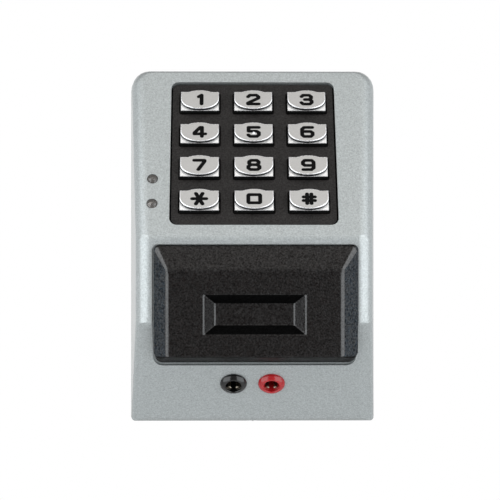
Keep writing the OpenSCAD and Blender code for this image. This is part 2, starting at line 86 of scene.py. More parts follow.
KEYPAD_TILT = math.atan((FRONT_DEPTH - TOP_DEPTH) / (HALF_H - UPPER_BEND_Z))
APRON_TILT = math.atan((FRONT_DEPTH - BOTTOM_DEPTH) / (HALF_H + LOWER_BEND_Z))


def surface_depth(z, inward=0.0):
    """Depth of the body's front surface at a height, or of the same surface moved inward."""
    upper = FRONT_DEPTH - (z - UPPER_BEND_Z) * math.tan(KEYPAD_TILT) - inward / math.cos(KEYPAD_TILT)
    lower = FRONT_DEPTH - (LOWER_BEND_Z - z) * math.tan(APRON_TILT) - inward / math.cos(APRON_TILT)
    return min(FRONT_DEPTH - inward, upper, lower)


def slope_frame(z, turn):
    """A flat stretch's own axes: x across, y up the slope, z out of its surface."""
    return Matrix.Translation((0, -surface_depth(z), z)) @ Matrix.Rotation(turn, 4, "X")


SOCKET_Z = -48.8
ON_KEYPAD = slope_frame(KEYPAD_Z, math.pi / 2 - KEYPAD_TILT)
ON_APRON = slope_frame(SOCKET_Z, math.pi / 2 + APRON_TILT)


# ---- mesh helpers ----

def new_object(name, bm, material=None):
    """Turns a bmesh drawn in millimetres into an object in metres."""
    bmesh.ops.scale(bm, vec=(MM, MM, MM), verts=bm.verts)
    bmesh.ops.recalc_face_normals(bm, faces=bm.faces)
    mesh = bpy.data.meshes.new(name)
    bm.to_mesh(mesh)
    bm.free()
    obj = bpy.data.objects.new(name, mesh)
    scene.collection.objects.link(obj)
    if material:
        mesh.materials.append(material)
    return obj


def apply_modifiers(obj):
    """Replaces an object's mesh by what its modifiers make of it."""
    graph = bpy.context.evaluated_depsgraph_get()
    mesh = bpy.data.meshes.new_from_object(obj.evaluated_get(graph), depsgraph=graph)
    obj.modifiers.clear()
    obj.data = mesh


def smooth(obj, angle, weighted=True):
    """Smooth shading that keeps edges sharper than an angle."""
    for face in obj.data.polygons:
        face.use_smooth = True
    obj.data.set_sharp_from_angle(angle=math.radians(angle))
    if weighted:
        mod = obj.modifiers.new("normals", "WEIGHTED_NORMAL")
        mod.keep_sharp = True
    return obj


def bevel(obj, width, segments, angle):
    """Rounds every edge that turns by more than an angle."""
    mod = obj.modifiers.new("bevel", "BEVEL")
    mod.width = width * MM
    mod.segments = segments
    mod.limit_method = "ANGLE"
    mod.angle_limit = math.radians(angle)
    mod.miter_outer = "MITER_ARC"
    mod.use_clamp_overlap = True


def soften(node, width):
    """Rounds the edges of a CAD node that stays in view, with modifiers only."""
    obj = frame["nodes"][node]
    weld = obj.modifiers.new("weld", "WELD")
    weld.merge_threshold = 0.002 * MM
    flat = obj.modifiers.new("flat", "DECIMATE")
    flat.decimate_type = "DISSOLVE"
    flat.angle_limit = math.radians(0.5)
    bevel(obj, width, 3, 30)
    mod = obj.modifiers.new("normals", "WEIGHTED_NORMAL")
    mod.keep_sharp = False
    for face in obj.data.polygons:
        face.use_smooth = True


def prism(name, points, low, high, place=Matrix.Identity(4), material=None):
    """A flat outline drawn between two heights, then put in place."""
    bm = bmesh.new()
    bottom = [bm.verts.new((x, y, low)) for x, y in points]
    top = [bm.verts.new((x, y, high)) for x, y in points]
    bm.faces.new(bottom[::-1])
    bm.faces.new(top)
    for i in range(len(points)):
        j = (i + 1) % len(points)
        bm.faces.new((bottom[i], bottom[j], top[j], top[i]))
    bmesh.ops.transform(bm, matrix=place, verts=bm.verts)
    return new_object(name, bm, material)


def arc(cx, cy, r, start, end, steps):
    """Points on an arc, angles in degrees."""
    out = []
    for i in range(steps + 1):
        a = math.radians(start + (end - start) * i / steps)
        out.append((cx + r * math.cos(a), cy + r * math.sin(a)))
    return out


def rounded_rectangle(x0, x1, y0, y1, r, steps=8):
    """A rectangle with rounded corners; r may be a pair, for the upper and the lower corners."""
    up, low = r if isinstance(r, tuple) else (r, r)
    corners = [
        (x1 - up, y1 - up, up, 0), (x0 + up, y1 - up, up, 90),
        (x0 + low, y0 + low, low, 180), (x1 - low, y0 + low, low, 270),
    ]
    return [p for cx, cy, radius, a in corners for p in arc(cx, cy, radius, a, a + 90, steps)]


def circle(x, y, r, steps=48):
    return arc(x, y, r, 0, 360 * (steps - 1) / steps, steps - 1)


def lathe(name, profile, place, material, steps=64):
    """Turns a closed outline of (radius, height) points about the z axis."""
    bm = bmesh.new()
    rings = [
        [bm.verts.new((r * math.cos(a), r * math.sin(a), h)) for r, h in profile]
        for a in (2 * math.pi * i / steps for i in range(steps))
    ]
    count = len(profile)
    for i in range(steps):
        here, there = rings[i], rings[(i + 1) % steps]
        for k in range(count):
            m = (k + 1) % count
            bm.faces.new((here[k], there[k], there[m], here[m]))
    bmesh.ops.transform(bm, matrix=place, verts=bm.verts)
    return smooth(new_object(name, bm, material), 40, weighted=False)


def cut(obj, tools):
    """Cuts each tool out of an object and deletes the tools."""
    for tool in tools:
        mod = obj.modifiers.new("cut", "BOOLEAN")
        mod.operation = "DIFFERENCE"
        mod.solver = "EXACT"
        mod.object = tool
    apply_modifiers(obj)
    for tool in tools:
        bpy.data.objects.remove(tool)
    return obj


FACING_FRONT = Matrix.Rotation(math.pi / 2, 4, "X")  # an outline in (x, z) drawn along the depth


def front_prism(name, points, near, deep):
    """An outline in (x, z) that runs from one depth to another."""
    return prism(name, points, near, deep, FACING_FRONT)


# ---- materials ----

class Shader:
    """A short way to write a node material."""

    def __init__(self, name):
        self.material = bpy.data.materials.new(name)
        self.material.use_nodes = True
        self.tree = self.material.node_tree
        self.shader = self.tree.nodes["Principled BSDF"]
        self.coords = self.node("ShaderNodeTexCoord").outputs["Object"]

    def node(self, kind, **inputs):
        """A new node, with its properties or its inputs set."""
        made = self.tree.nodes.new(kind)
        for key, value in inputs.items():
            if hasattr(made, key):
                setattr(made, key, value)
            else:
                self.put(made.inputs[key.replace("_", " ")], value)
        return made

    def put(self, socket, value):
        """Links an output to a socket, or sets a constant on it."""
        if isinstance(value, bpy.types.NodeSocket):
            self.tree.links.new(value, socket)
        elif hasattr(socket.default_value, "__len__") and len(value) == 3 and len(socket.default_value) == 4:
            socket.default_value = (*value, 1)
        else:
            socket.default_value = value

    def set(self, **inputs):
        """Sets inputs of the surface shader itself."""
        for key, value in inputs.items():
            self.put(self.shader.inputs[key.replace("_", " ")], value)

    def noise(self, size_mm, detail=2.0, roughness=0.5, stretch=(1, 1, 1)):
        """Noise whose features are about as large as the size given."""
        place = self.node("ShaderNodeMapping")
        self.put(place.inputs["Vector"], self.coords)
        place.inputs["Scale"].default_value = stretch
        made = self.node("ShaderNodeTexNoise", Scale=1 / (size_mm * MM), Detail=detail, Roughness=roughness)
        self.put(made.inputs["Vector"], place.outputs[0])
        return made.outputs["Fac"]

    def remap(self, value, low, high, out_low, out_high):
        """Stretches a value from one range to another."""
        made = self.node("ShaderNodeMapRange")
        self.put(made.inputs["Value"], value)
        for key, number in (("From Min", low), ("From Max", high), ("To Min", out_low), ("To Max", out_high)):
            made.inputs[key].default_value = number
        return made.outputs["Result"]

    def ramp(self, value, *stops):
        """A colour ramp through (position, colour) stops."""
        made = self.node("ShaderNodeValToRGB")
        self.put(made.inputs["Fac"], value)
        band = made.color_ramp
        while len(band.elements) < len(stops):
            band.elements.new(0.5)
        for element, (at, colour) in zip(band.elements, stops):
            element.position = at
            element.color = (*colour, 1)
        return made.outputs["Color"]

    def bump(self, height, distance_mm, strength, under=None):
        """A bumped normal, on top of another one if given."""
        made = self.node("ShaderNodeBump", Strength=strength, Distance=distance_mm * MM)
        self.put(made.inputs["Height"], height)
        if under is not None:
            self.put(made.inputs["Normal"], under)
        return made.outputs["Normal"]


def shade(colour, factor):
    """A darker or lighter colour."""
    return tuple(min(1, c * factor) for c in colour)


def metallic_paint():
    """Silver-grey paint: fine aluminium flake under a satin clear coat, with faint orange peel."""
    s = Shader("silver_paint")
    base = (0.385, 0.41, 0.41)
    fine = s.noise(0.55, 3.0, 0.75)
    flakes = s.ramp(fine, (0.28, shade(base, 0.7)), (0.5, base), (0.7, shade(base, 1.28)))
    grain = s.bump(s.noise(0.45, 2.0, 0.6), 0.035, 0.5)
    peel = s.bump(s.noise(2.2, 1.0), 0.05, 0.25, grain)
    s.set(Base_Color=flakes, Metallic=0.5, Normal=peel, Coat_Weight=0.2, Coat_Roughness=0.2)
    s.set(Roughness=s.remap(s.noise(0.5), 0.3, 0.7, 0.3, 0.42))
    return s.material


def key_metal(name, colour, roughness):
    """Nickel-plated zinc with a fine blasted grain."""
    s = Shader(name)
    s.set(Base_Color=s.ramp(s.noise(0.24, 3.0, 0.65), (0.3, shade(colour, 0.88)), (0.7, shade(colour, 1.06))))
    s.set(Metallic=0.85, Normal=s.bump(s.noise(0.2, 2.0), 0.02, 0.4))
    s.set(Roughness=s.remap(s.noise(0.6), 0.3, 0.7, roughness - 0.05, roughness + 0.05))
    return s.material


def moulded_plastic(
    name, colour, roughness, grain_mm=0.3, grain_depth=0.02, speckle=0.0, coat=0.0, shine=0.5,
):
    """Moulded plastic whose skin has a fine spark-eroded grain; speckle varies its tone and shine."""
    s = Shader(name)
    tone = s.ramp(
        s.noise(grain_mm * 1.4, 3.0, 0.7),
        (0.32, shade(colour, 1 - speckle)), (0.5, colour), (0.68, shade(colour, 1 + 2 * speckle)),
    )
    s.set(Base_Color=tone, Normal=s.bump(s.noise(grain_mm, 2.0, 0.6), grain_depth, 0.8), Coat_Weight=coat)
    least, most = shine * (1 - speckle), shine * (1 + speckle)
    s.set(Specular_IOR_Level=s.remap(s.noise(grain_mm, 2.0, 0.6), 0.34, 0.66, least, most))
    s.set(Roughness=s.remap(s.noise(grain_mm * 3), 0.3, 0.7, roughness - 0.04, roughness + 0.06))
    return s.material


def bare_metal(name, colour, roughness, stretch=(1, 1, 1), grain_mm=0.6):
    """Plated metal, brushed where the grain is stretched."""
    s = Shader(name)
    grain = s.noise(grain_mm, 3.0, 0.6, stretch)
    s.set(Base_Color=s.ramp(grain, (0.3, shade(colour, 0.85)), (0.7, shade(colour, 1.1))), Metallic=1.0)
    s.set(Roughness=s.remap(grain, 0.3, 0.7, roughness - 0.07, roughness + 0.07))
    s.set(Normal=s.bump(grain, 0.01, 0.3))
    return s.material


def circuit_board():
    """Green solder mask with lighter copper tracks under it."""
    s = Shader("board_green")
    tracks = s.node(
        "ShaderNodeTexBrick", Scale=1 / (22 * MM), Mortar_Size=0.012, Brick_Width=0.31, Row_Height=0.17,
    )
    s.put(tracks.inputs["Vector"], s.coords)
    colours = {"Color1": (0.012, 0.10, 0.045), "Color2": (0.014, 0.115, 0.05), "Mortar": (0.03, 0.2, 0.09)}
    for key, colour in colours.items():
        tracks.inputs[key].default_value = (*colour, 1)
    s.set(Base_Color=tracks.outputs["Color"], Roughness=0.32, Coat_Weight=0.3)
    s.set(Normal=s.bump(tracks.outputs["Fac"], 0.05, 0.5))
    return s.material


def clear_lens():
    """Smoky water-clear epoxy."""
    s = Shader("lens_clear")
    s.set(Base_Color=(0.5, 0.47, 0.44), Roughness=0.1, IOR=1.5, Transmission_Weight=0.85)
    s.set(Normal=s.bump(s.noise(0.8), 0.02, 0.2))
    return s.material


def numeral_paint():
    """Matt black print."""
    s = Shader("numeral_black")
    s.set(Base_Color=s.ramp(s.noise(0.2), (0.3, (0.002, 0.002, 0.002)), (0.7, (0.005, 0.005, 0.005))))
    s.set(Roughness=0.5, Specular_IOR_Level=0.05)
    return s.material


PAINT = metallic_paint()
KEY_METAL = key_metal("key_satin", (0.525, 0.52, 0.51), 0.4)
# painted highlight: a near-white copy of the key metal, for the pad's rim, the shoulder's edge and the 5's pip
KEY_HIGHLIGHT = key_metal("key_painted_highlight", (0.92, 0.92, 0.93), 0.28)
# painted light: a near-white copy of the key metal for the shoulder's top, lighter because light falls on it
KEY_STEP_LIT = key_metal("key_shoulder_painted_light", (0.94, 0.94, 0.935), 0.4)
# painted shade: a near-black copy of the key metal for the key's walls and the crescent under its pad, where
# shade falls
KEY_WALL_SHADE = key_metal("key_wall_painted_shade", (0.03, 0.03, 0.03), 0.5)
# painted shade: near-black plastic for the gaps round the keys and round the bezel
SHADE_BLACK = moulded_plastic("painted_gap_shade", (0.001, 0.001, 0.001), 0.8, grain_mm=0.5, shine=0.02)
COVER_PLASTIC = moulded_plastic(
    "cover_black", (0.003, 0.0022, 0.002), 0.3, grain_mm=0.6, grain_depth=0.14, speckle=0.65, shine=0.34,
)
# painted highlight: a slightly lighter, shinier copy of the cover plastic for its rounded edges
COVER_EDGE_LIT = moulded_plastic(
    "cover_black_edge_highlight", (0.004, 0.0035, 0.0035), 0.24, grain_mm=0.6, speckle=0.2, shine=0.75,
)
# painted reflection: a bluish, speckled copy of the cover plastic for its side bevels, standing in for the
# side lamps' reflection
COVER_BEVEL_SHEEN = moulded_plastic(
    "cover_bevel_painted_sheen", (0.003, 0.006, 0.009), 0.3, grain_mm=0.6, grain_depth=0.2, speckle=0.9, shine=0.34,
)
# painted shade: a darker, duller copy of the cover plastic for its faces that face up or down
COVER_SHADE = moulded_plastic(
    "cover_black_painted_shade", (0.001, 0.001, 0.001), 0.5, grain_mm=0.6, grain_depth=0.1, speckle=0.5, shine=0.05,
)
BEZEL_PLASTIC = moulded_plastic(
    "bezel_black", (0.0075, 0.0062, 0.0058), 0.42, grain_mm=0.5, grain_depth=0.1, speckle=0.35, shine=0.33,
)
BLACK_PLASTIC = moulded_plastic("housing_black", (0.02, 0.02, 0.021), 0.4)
RED_GLOSS = moulded_plastic("socket_red", (0.36, 0.01, 0.014), 0.13, grain_mm=0.8, speckle=0.05, coat=0.1)
BLACK_GLOSS = moulded_plastic(
    "socket_black", (0.004, 0.004, 0.004), 0.12, grain_mm=0.8, speckle=0.05, coat=0.2,
)
RUBBER = moulded_plastic("rubber_black", (0.018, 0.018, 0.018), 0.7, grain_mm=0.5, grain_depth=0.03)
MAT_RUBBER = moulded_plastic("mat_grey", (0.09, 0.1, 0.11), 0.65, grain_mm=0.5)
HEADER_PLASTIC = moulded_plastic("header_cream", (0.68, 0.63, 0.52), 0.35)
RELAY_BLUE = moulded_plastic("relay_blue", (0.02, 0.09, 0.32), 0.28)
SLEEVE_BLUE = moulded_plastic("sleeve_blue", (0.02, 0.035, 0.1), 0.25)
TERMINAL_GREEN = moulded_plastic("terminal_green", (0.02, 0.22, 0.06), 0.35)
PLUNGER_RED = moulded_plastic("plunger_red", (0.42, 0.04, 0.025), 0.3)
LEAD_RED = moulded_plastic("lead_red", (0.38, 0.02, 0.02), 0.35)
RIBBON_GREY = moulded_plastic("ribbon_grey", (0.3, 0.31, 0.33), 0.4)
CHIP_BLACK = moulded_plastic("chip_black", (0.018, 0.018, 0.02), 0.5)
PLATE_ZINC = bare_metal("plate_zinc", (0.5, 0.51, 0.5), 0.38, (1, 1, 0.06))
SCREW_STEEL = bare_metal("screw_steel", (0.62, 0.61, 0.6), 0.28)
SPRING_BRASS = bare_metal("spring_brass", (0.4, 0.35, 0.28), 0.36)
COPPER = bare_metal("copper_wire", (0.6, 0.24, 0.1), 0.35, (1, 1, 0.2), 0.3)
BOARD = circuit_board()
LENS = clear_lens()
NUMERAL = numeral_paint()

SLOT_MATERIALS = {
    "cast_metal": PAINT, "plate_steel": PLATE_ZINC, "seal_rubber": RUBBER, "screw_steel": SCREW_STEEL,
    "bezel_plastic": BEZEL_PLASTIC, "key_metal": KEY_METAL, "mat_rubber": MAT_RUBBER, "board": BOARD,
    "header_plastic": HEADER_PLASTIC, "ribbon": RIBBON_GREY, "led_lens": LENS, "black_plastic": BLACK_PLASTIC,
    "cover_plastic": COVER_PLASTIC, "copper": COPPER, "chip": CHIP_BLACK, "relay_plastic": RELAY_BLUE,
    "capacitor_sleeve": SLEEVE_BLUE, "terminal_plastic": TERMINAL_GREEN, "plunger_plastic": PLUNGER_RED,
    "socket_black": BLACK_GLOSS, "socket_red": RED_GLOSS, "contact_metal": SPRING_BRASS,
    "lead_insulation": LEAD_RED,
}


def dress_nodes():
    """Gives every CAD node the finish of its material slot."""
    for part in frame["record"]["subparts"]:
        obj = frame["nodes"][part["node"]]
        obj.data.materials.clear()
        obj.data.materials.append(SLOT_MATERIALS[part["material_slot"]])


# ---- housing ----

# fillets of the outer form
SIDE_EDGE_R = 5.3
UPPER_BEND_R = 6
LOWER_BEND_R = 1.5
BOTTOM_CORNER_R = 1.2
TOP_EDGE_R = 1.6
BOTTOM_EDGE_R = 4.5
CORNER_STEPS = 6  # straight stretches round each top corner

LED_HOLE_R = 1.95
SOCKET_HOLE_R = 3.65
SCREW_Y = -4.1  # the security screw's axis


def body_blank(name, inward=0.0, back=0.0):
    """The housing's outer form with sharp edges, or its cavity when every wall moves inward.

    Edges that will be rounded carry a bevel weight: the offset that a fillet of the wanted radius
    needs, as a share of SIDE_EDGE_R.
    """
    half_w, half_h = HALF_W - inward, HALF_H - inward
    corner = TOP_CORNER_R - inward
    shift = inward * (1 - 1 / math.cos(KEYPAD_TILT)) / math.tan(KEYPAD_TILT)
    upper_z = UPPER_BEND_Z + shift
    lower_z = LOWER_BEND_Z - inward * (1 - 1 / math.cos(APRON_TILT)) / math.tan(APRON_TILT)

    # half of the outline, from the bottom right corner to the top, as (x, z, share of the side's lean)
    right = [(half_w, -half_h, 1), (half_w, lower_z, 1), (half_w, upper_z, 1)]
    for i in range(CORNER_STEPS + 1):
        a = math.radians(90 * i / CORNER_STEPS)
        x = half_w - corner + corner * math.cos(a)
        z = half_h - corner + corner * math.sin(a)
        right.append((x, z, math.cos(a)))
    outline = right + [(-x, z, -lean) for x, z, lean in reversed(right)]

    bm = bmesh.new()
    rear, front = [], []
    for x, z, lean in outline:
        depth = surface_depth(z, inward)
        rear.append(bm.verts.new((x + lean * back * SIDE_LEAN, back, z)))
        front.append(bm.verts.new((x - lean * depth * SIDE_LEAN, -depth, z)))
    count = len(outline)
    for i in range(count):
        j = (i + 1) % count
        bm.faces.new((rear[i], rear[j], front[j], front[i]))
    bm.faces.new(rear)
    bm.faces.new([v for v in front if v.co.z >= upper_z - 0.001])
    bm.faces.new([v for v in front if lower_z - 0.001 <= v.co.z <= upper_z + 0.001])
    bm.faces.new([v for v in front if v.co.z <= lower_z + 0.001])
    bmesh.ops.recalc_face_normals(bm, faces=bm.faces)

    weight = bm.edges.layers.float.new("bevel_weight_edge")
    front_set = set(front)
    for edge in bm.edges:
        angle = edge.calc_face_angle(0)
        ends_in_front = [v in front_set for v in edge.verts]
        if all(ends_in_front):
            across = abs(edge.verts[0].co.x - edge.verts[1].co.x) > half_w
            height = edge.verts[0].co.z
            if across and abs(height - upper_z) < 0.01:
                radius = UPPER_BEND_R
            elif across and abs(height - lower_z) < 0.01:
                radius = LOWER_BEND_R
            elif across and height < 0:
                radius = BOTTOM_EDGE_R
            else:
                # round the top corners the side's radius runs down to the top edge's, evenly with the angle
                rise = max(0, (sum(v.co.z for v in edge.verts) / 2 - half_h + corner) / corner)
                share = math.asin(min(1, rise)) / (math.pi / 2)
                radius = SIDE_EDGE_R + (TOP_EDGE_R - SIDE_EDGE_R) * share
            edge[weight] = radius * math.tan(angle / 2) / SIDE_EDGE_R
        elif any(ends_in_front) and edge.verts[0].co.z < -half_h + 0.01:
            edge[weight] = BOTTOM_CORNER_R / SIDE_EDGE_R
    return new_object(name, bm, PAINT)


def body_outline(inward):
    """The housing's outline in front view, moved inward."""
    w, h = HALF_W - inward, HALF_H - inward
    corners = (TOP_CORNER_R - inward, max(0.3, BOTTOM_CORNER_R - inward))
    return rounded_rectangle(-w, w, -h, h, corners)


def hole_tools():
    """Everything that is cut through the housing's walls."""
    tools = [prism("tool_opening", rounded_rectangle(*OPENING, 2.7), -8, 6, ON_KEYPAD)]
    for node in ("led_upper", "led_lower"):
        at = ON_KEYPAD.inverted() @ node_centre(node)
        tools.append(prism("tool_" + node, circle(at.x, at.y, LED_HOLE_R), -8, 6, ON_KEYPAD))
    for node in ("socket_black", "socket_red"):
        at = ON_APRON.inverted() @ node_centre(node)
        tools.append(prism("tool_" + node, circle(at.x, 0, SOCKET_HOLE_R), -8, 6, ON_APRON))
    tools.append(front_prism("tool_window", rounded_rectangle(-23.4, 23.4, -25, -4.5, 2), 30, 60))
    tools.append(prism("tool_screw", circle(0, SCREW_Y, 1.7, 32), -HALF_H - 1, -HALF_H + 4))
    tools.append(prism("tool_screw_head", circle(0, SCREW_Y, 2.8, 32), -HALF_H - 1, -HALF_H + 1.6))
    foot, head = HALF_H - WALL - 1, HALF_H - 1.1
    for x in (-25, 25):
        left, right = x - 4.5, x + 4.5
        slot = [(left, foot), (right, foot), (right, head), (left, head)]
        tools.append(front_prism("tool_hook", slot, 3.2, 5.4))
    # the rim seal's groove
    groove = front_prism("tool_groove", body_outline(0.7), -1, 1)
    core = front_prism("tool_groove_core", body_outline(1.9), -2, 2)
    tools.append(cut(groove, [core]))
    return tools


def cover_recess():
    """The shallow seat for the reader cover, as a tool."""
    low, high = node_box("reader_cover")
    left, right, below, above = RECESS_GAP
    outline = rounded_rectangle(low.x - left, high.x + right, low.z - below, high.z + above, RECESS_R[::-1])
    block = front_prism("tool_recess", outline, 15, 60)
    core = body_blank("tool_core", COVER_SEAT, 5)
    return cut(block, [core])


def housing():
    """The cast housing: rounded outside, hollow inside, with its openings and a seat for the cover."""
    shell = body_blank("housing_shell")
    mod = shell.modifiers.new("fillets", "BEVEL")
    mod.limit_method = "WEIGHT"
    mod.width = SIDE_EDGE_R * MM
    mod.use_clamp_overlap = False
    mod.segments = 10
    apply_modifiers(shell)
    cavity = body_blank("tool_cavity", WALL, 5)
    cut(shell, [cavity, cover_recess(), *hole_tools()])
    weld = shell.modifiers.new("weld", "WELD")
    weld.merge_threshold = 0.004 * MM
    bevel(shell, 0.25, 2, 50)
    apply_modifiers(shell)
    smooth(shell, 30)
    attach(shell, "housing")
    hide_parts("front_housing")


# ---- reader cover ----

COVER_LOW, COVER_HIGH = node_box("reader_cover")
FACE_DEPTH = -COVER_LOW.y
LIP_DEPTH = FRONT_DEPTH + 0.8  # where the cover's upright sides turn into its bevels
REAR_DEPTH = 15  # behind the whole of the cover's rim
REAR_FOOT_Z = -43  # the lower side at that depth
FACE = (-29.9, 29.9, -38, -8.5)  # the main face's edges: left, right, lower, upper
INWARD = (1, -1, 1, -1)  # which way each of those edges moves inward
POCKET_Z = -23.5
POCKET_MOUTH = (34.9, 13.7)
POCKET_LEAN = (3.9, 3.2)  # how far the pocket's walls lean in on their way down
POCKET_DEPTH = 3.8
POCKET_SHELL = POCKET_DEPTH + 1.3  # how deep the pocket's underside lies
COVER_WALL = 2
SHADED, EDGE_LIT, SIDE_SHEEN = 1, 2, 3  # the cover's materials after its plain plastic: a darker copy for faces that face up or down (painted shade), a lighter, shinier copy on rounded edges (painted highlight), and a bluish copy on the side bevels (painted reflection of the side lamps)


def rounded_turn(t, before, corner, after):
    """Positions on the rounded turn between two straight stretches, for four sides at once."""
    return [b * (1 - t) ** 2 + c * 2 * t * (1 - t) + a * t * t for b, c, a in zip(before, corner, after)]


def flat_start(drop, beside, edge):
    """Sides on the flat, as far from an edge as the points beside it on the sloping stretch."""
    return [e - math.copysign(math.hypot(drop, b - e), b - e) for b, e in zip(beside, edge)]


def between(value, low, high, start, end):
    """A value between start and end, in step with where another lies between low and high."""
    return start + (end - start) * (value - low) / (high - low)


def cover_sides(depth, inward=0.0):
    """Left, right, lower and upper edge of the cover at a depth, or of its inside."""
    foot = between(min(depth, FACE_DEPTH), REAR_DEPTH, FACE_DEPTH, REAR_FOOT_Z, FACE[2])
    sides = [COVER_LOW.x, COVER_HIGH.x, foot, COVER_HIGH.z]
    if depth > LIP_DEPTH - inward:
        for k in (0, 1, 3):
            sides[k] = between(depth + inward, LIP_DEPTH, FACE_DEPTH, sides[k], FACE[k])
    return [side + inward * sign for side, sign in zip(sides, INWARD)]


def pocket_sides(depth, wall=0.0):
    """The pocket's four walls at a depth below the face; wall gives the outside of its shell."""
    share = 1 - depth / (POCKET_SHELL if wall else POCKET_DEPTH)
    half_w, half_h = (m / 2 + wall - lean * (1 - share) for m, lean in zip(POCKET_MOUTH, POCKET_LEAN))
    return [-half_w, half_w, POCKET_Z - half_h, POCKET_Z + half_h]


def cover_rings():
    """The cover's closed rings, as two runs: its outside from the rim to the pocket's floor, then its inside.

    Each ring is (four sides, lower and upper corner radius, depth, where the lighter edge copy of painted
    highlight runs up to the next ring).
    A depth of None follows the housing's surface.
    """
    rim = cover_sides(REAR_DEPTH)
    outside = [(rim, 2.6, 1.7, None, None)]
    lip = 0.35
    before, corner, after = (cover_sides(LIP_DEPTH + d) for d in (-lip, 0, lip))
    for i in range(5):
        t = i / 4
        edge_lit = "corners" if t == 1 else None
        outside.append((rounded_turn(t, before, corner, after), 2.6, 1.7, LIP_DEPTH - lip + 2 * lip * t, edge_lit))
    drop = 0.6
    before = cover_sides(FACE_DEPTH - drop)
    after = flat_start(drop, before, FACE)
    for i in range(9):
        t = i / 8
        corner_r = 0.9 - 0.4 * t
        depth = FACE_DEPTH - drop * (1 - t) ** 2
        edge_lit = "all" if t < 1 else None
        outside.append((rounded_turn(t, before, FACE, after), corner_r, corner_r, depth, edge_lit))
    drop = 0.35
    mouth, floor = pocket_sides(0), pocket_sides(POCKET_DEPTH)
    after = pocket_sides(drop)
    before = flat_start(drop, after, mouth)
    for i in range(7):
        t = i / 6
        edge_lit = "all" if t < 1 else None
        outside.append((rounded_turn(t, before, mouth, after), 0.5, 0.5, FACE_DEPTH - drop * t * t, edge_lit))
    before = pocket_sides(POCKET_DEPTH - drop)
    after = flat_start(drop, before, floor)
    for i in range(7):
        t = i / 6
        depth = FACE_DEPTH - POCKET_DEPTH + drop * (1 - t) ** 2
        edge_lit = "all" if t < 1 else None
        outside.append((rounded_turn(t, before, floor, after), 0.4, 0.4, depth, edge_lit))

    under_face = [side + 0.83 * sign for side, sign in zip(FACE, (1, -1, 2, -1))]
    under_rim = [side + COVER_WALL * sign for side, sign in zip(rim, INWARD)]
    inner_lip = LIP_DEPTH - 0.8
    inside = [
        (pocket_sides(POCKET_SHELL, 1.5), 0.4, 0.4, FACE_DEPTH - POCKET_SHELL, None),
        (pocket_sides(COVER_WALL, 1.5), 0.4, 0.4, FACE_DEPTH - COVER_WALL, None),
        (under_face, 0.5, 0.5, FACE_DEPTH - COVER_WALL, None),
        (cover_sides(inner_lip, COVER_WALL), 0.8, 0.6, inner_lip, None),
        (under_rim, 0.8, 0.6, None, None),
    ]
    return outside, inside


def ring_points(sides, low_r, up_r, depth):
    """A ring's points in space: four rounded corners, and one point on each side at the lower bend."""
    x0, x1, z0, z1 = sides
    if depth is None:
        z0 = max(z0, COVER_LOW.z + (x0 > -34) * COVER_WALL)
    points = rounded_rectangle(x0, x1, z0, z1, (up_r, low_r), 6)
    bend = min(max(LOWER_BEND_Z, z0 + low_r + 0.05), z1 - up_r - 0.05)
    points = points[:14] + [(x0, bend)] + points[14:] + [(x1, bend)]
    return [(x, -(depth or surface_depth(z, COVER_SEAT)), z) for x, z in points]


def cover():
    """The reader cover's closed shell, and the four screw bosses inside it."""
    outside, inside = cover_rings()
    bm = bmesh.new()
    loops = [[bm.verts.new(p) for p in ring_points(*ring)] for *ring, _ in outside + inside]
    strips = list(zip(loops, loops[1:] + loops[:1], [edge_lit for *_, edge_lit in outside + inside]))
    last = len(outside) - 1
    del strips[last]
    for a, b, edge_lit in strips:
        for i in range(len(a)):
            j = (i + 1) % len(a)
            face = bm.faces.new((a[i], a[j], b[j], b[i]))
            upper_corner = i < 13 and i != 6
            if edge_lit == "all" or (edge_lit == "corners" and upper_corner):
                face.material_index = EDGE_LIT
    bm.faces.new(loops[last])
    bm.faces.new(loops[last + 1])
    piece = smooth(new_object("cover_shell", bm, COVER_PLASTIC), 38)
    for finish in (COVER_SHADE, COVER_EDGE_LIT, COVER_BEVEL_SHEEN):
        piece.data.materials.append(finish)
    # painted light: faces that face up or down take the darker copy, sideways faces beyond the face take the
    # bluish copy, and the edge faces keep the lighter edge copy
    for face in piece.data.polygons:
        sideways = abs(face.normal.x)
        if abs(face.normal.z) > 0.6:
            face.material_index = SHADED
        elif face.material_index == EDGE_LIT and sideways > 0.12:
            continue
        elif sideways > 0.3 and abs(face.center.x) > FACE[1] * MM:
            face.material_index = SIDE_SHEEN
        else:
            face.material_index = 0
    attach(piece, "housing")
    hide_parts("reader_cover")
    for x in (-27, 27):
        for z, rise in ((-7, 3.5), (-22, 4.9)):
            boss = lathe(
                "cover_boss", [(1.25, 0), (2.5, 0), (2.5, rise), (0.001, rise), (0.001, 3.2), (1.25, 3.2)],
                Matrix.Translation((x, COVER_SEAT - FRONT_DEPTH, z)) @ FACING_FRONT, COVER_PLASTIC, 24,
            )
            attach(boss, "housing")


# ---- keys and their numerals ----

KEY_W, KEY_H = 13.6, 8.0
HALF_PITCH = 6.875  # half the distance between rows
KEY_SHOULDER = 0.8  # height of a key's shoulder above the slope's surface
KEY_TOP = KEY_SHOULDER + 1.3  # and of its raised oval
KEY_ROOT, FLANGE_TOP, FLANGE_REACH = -3.0, -2.2, 0.9
HIGHLIGHTED, STEP_LIT, WALL_SHADED = 1, 2, 3  # a key's materials after its satin top: a near-white copy on the rims and shoulder edge for painted highlight, a near-white copy on the shoulder top for painted light, a near-black copy on the walls for painted shade
PAD_TOP = 3.25  # how far the pad's squared upper corners lie above the key's middle
BEZEL_FACE = -0.9  # the bezel's face, below the slope's surface
KEY_GAP = 0.3  # between a key and the painted-shade ring round it
SHADE_RING_SIDE, SHADE_RING_BELOW, SHADE_RING_ABOVE = 0.3, 0.2, 0.1  # the painted-shade ring's own widths
